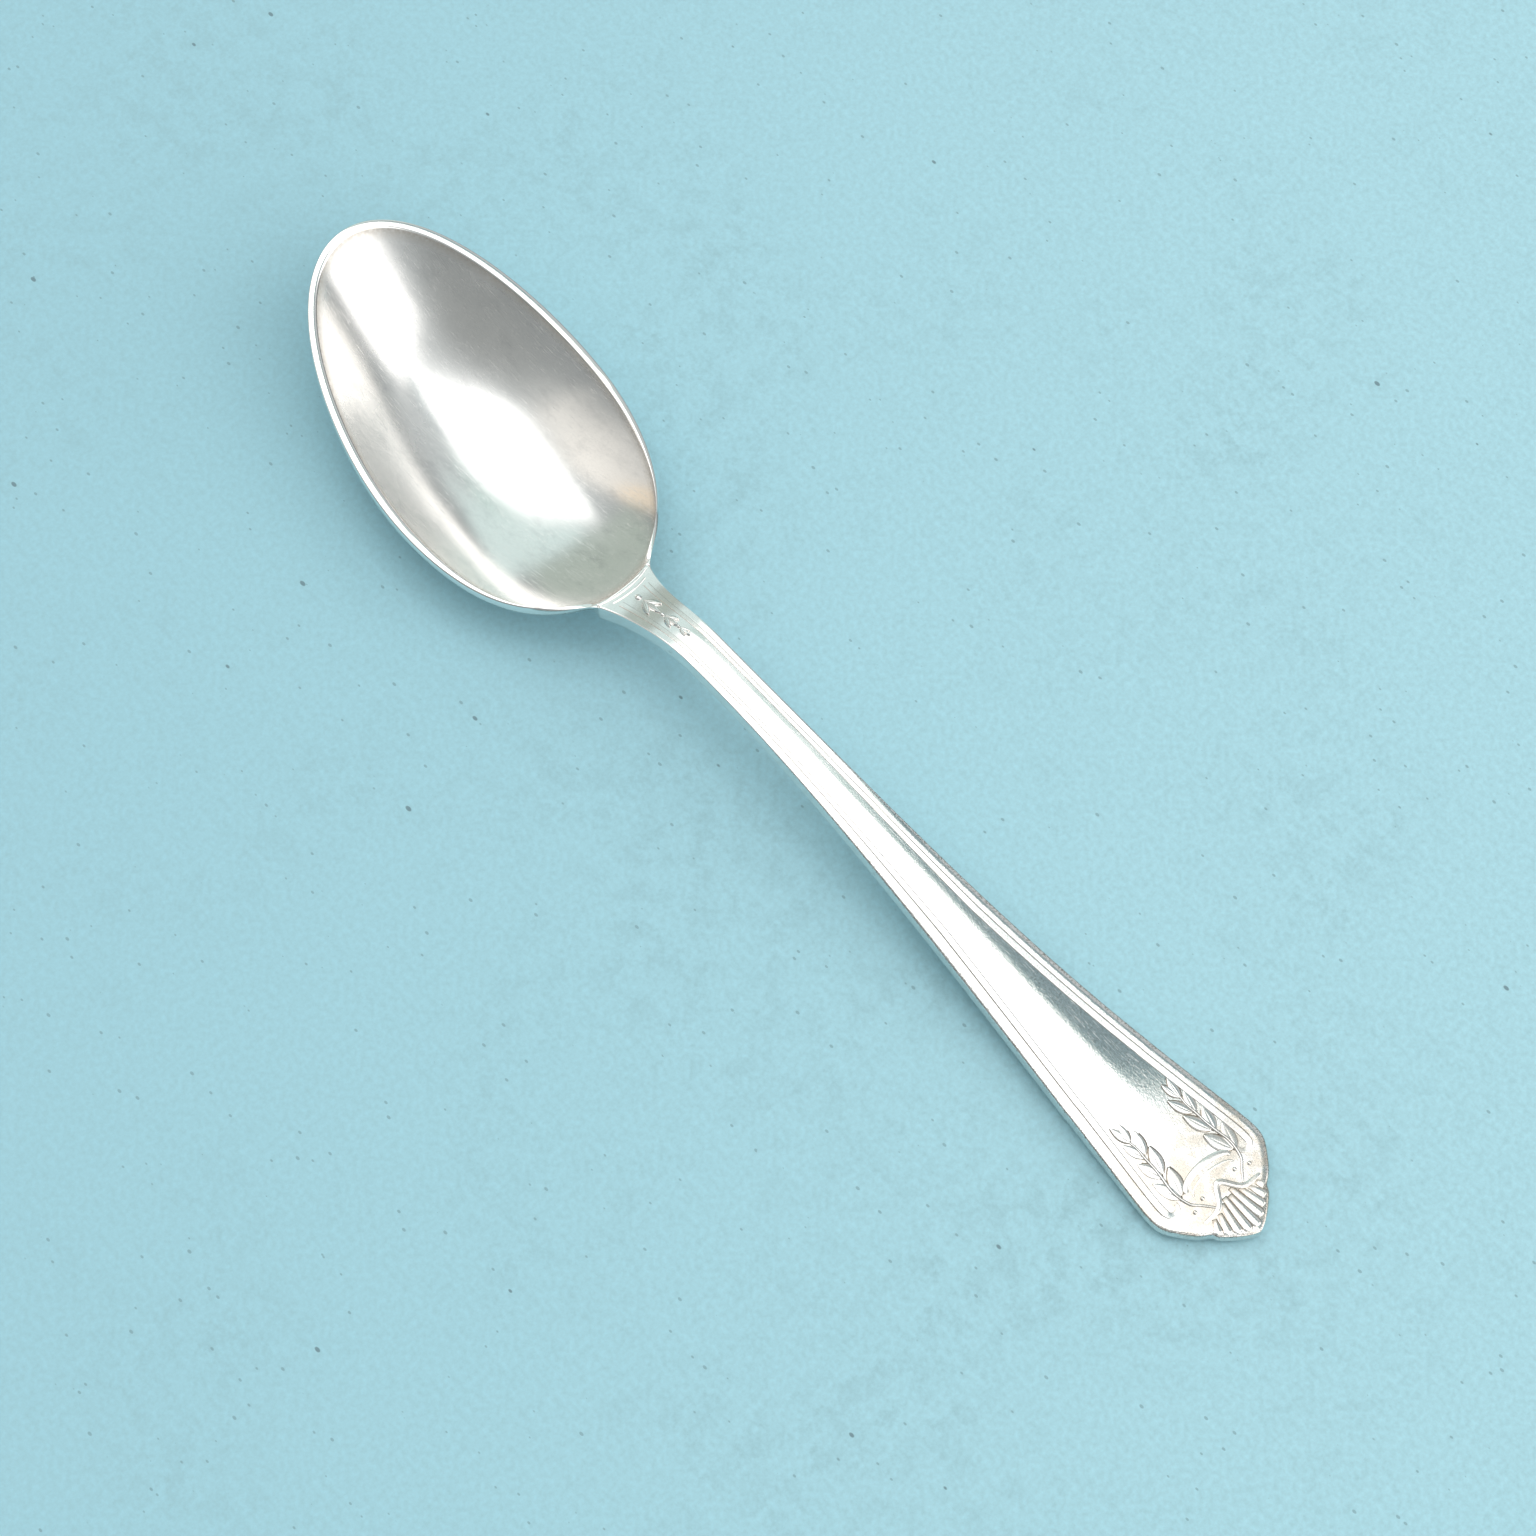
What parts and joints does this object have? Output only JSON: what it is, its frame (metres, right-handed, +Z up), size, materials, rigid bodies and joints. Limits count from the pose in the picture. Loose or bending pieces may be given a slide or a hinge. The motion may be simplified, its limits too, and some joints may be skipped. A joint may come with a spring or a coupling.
{
  "type": "teaspoon",
  "caption": "Vintage plated teaspoon with an egg-shaped bowl, a cranked stem and a flared handle that carries a thread border, laurel sprays and a shell.",
  "frame": {"origin": "on the table, under the middle of the spoon's outline box", "axes": "+X from the bowl towards the end of the handle, +Y across the spoon, +Z up out of the bowl"},
  "size_m": [0.15, 0.0304, 0.0127],
  "materials": {
    "silver_plate": "old silver plate, polished, with fine scratches, small pits at the edges and faint tarnish",
    "struck_silver": "struck silver plate relief, rubbed bright on top, with warm tarnish in its hollows"
  },
  "bodies": {
    "root": {"bowl": "silver_plate", "neck": "silver_plate", "stem": "silver_plate", "handle_blade": "silver_plate", "terminal": "silver_plate", "left_thread": "struck_silver", "right_thread": "struck_silver", "neck_band": "struck_silver", "husk_drop": "struck_silver", "left_spray": "struck_silver", "right_spray": "struck_silver", "scroll": "struck_silver", "shell_crest": "struck_silver"}
  },
  "joints": []
}
